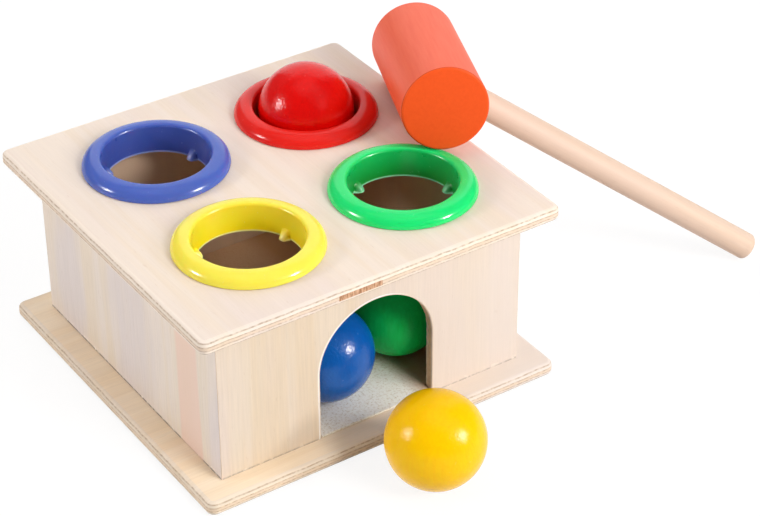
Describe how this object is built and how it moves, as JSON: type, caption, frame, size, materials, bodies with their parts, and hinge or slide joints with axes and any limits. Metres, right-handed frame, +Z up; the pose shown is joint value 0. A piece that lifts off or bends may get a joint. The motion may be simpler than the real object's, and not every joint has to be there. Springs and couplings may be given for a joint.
{
  "type": "ball pounding box",
  "caption": "Plywood toy box with an arched front: painted balls are hammered down through soft rings in its top, roll out through the arch, and the hammer lies across the top.",
  "frame": {"origin": "middle of the base plate's underside, on the floor", "axes": "+X to the right as seen from the arch, where the hammer's handle goes down to the floor; +Y away from the arch; +Z up"},
  "size_m": [0.2505, 0.1836, 0.1063],
  "materials": {
    "plywood": "sanded, clear sealed",
    "fibreboard": "bare speckled board",
    "blue_moulding": "gloss moulded",
    "red_moulding": "gloss moulded",
    "green_moulding": "gloss moulded",
    "yellow_moulding": "gloss moulded",
    "red_paint": "gloss paint on turned wood",
    "blue_paint": "gloss paint on turned wood",
    "green_paint": "gloss paint on turned wood",
    "yellow_paint": "gloss paint on turned wood",
    "orange_paint": "satin paint on turned wood",
    "dowel": "sanded, clear sealed",
    "brad_steel": "bright drawn wire"
  },
  "bodies": {
    "box": {"base_plate": "plywood", "floor_liner": "fibreboard", "front_panel": "plywood", "right_panel": "plywood", "back_panel": "plywood", "left_panel": "plywood", "top_plate": "plywood", "blue_ring": "blue_moulding", "red_ring": "red_moulding", "green_ring": "green_moulding", "yellow_ring": "yellow_moulding", "brad_1": "brad_steel", "brad_2": "brad_steel", "brad_3": "brad_steel", "brad_4": "brad_steel", "brad_5": "brad_steel", "brad_6": "brad_steel", "brad_7": "brad_steel", "brad_8": "brad_steel"},
    "red_ball": {"red_ball": "red_paint"},
    "blue_ball": {"blue_ball": "blue_paint"},
    "green_ball": {"green_ball": "green_paint"},
    "yellow_ball": {"yellow_ball": "yellow_paint"},
    "hammer": {"hammer_head": "orange_paint", "hammer_handle": "dowel"}
  },
  "joints": [
    {"name": "red_ball_drop", "type": "slide", "parent": "box", "child": "red_ball", "axis": [0, 0, -1], "range_m": [-0.045, 0.0483], "deforming": ["red_ring"]},
    {"name": "blue_ball_roll", "type": "slide", "parent": "box", "child": "blue_ball", "axis": [0.4311, -0.9023, 0], "range_m": [-0.06, 0.02]},
    {"name": "green_ball_roll", "type": "slide", "parent": "box", "child": "green_ball", "axis": [0, 1, 0], "range_m": [0, 0.028]},
    {"name": "yellow_ball_roll", "type": "slide", "parent": "box", "child": "yellow_ball", "axis": [0, -1, 0], "range_m": [0, 0.12]},
    {"name": "hammer_lift", "type": "slide", "parent": "box", "child": "hammer", "axis": [0, 0, 1], "range_m": [0, 0.1]}
  ]
}
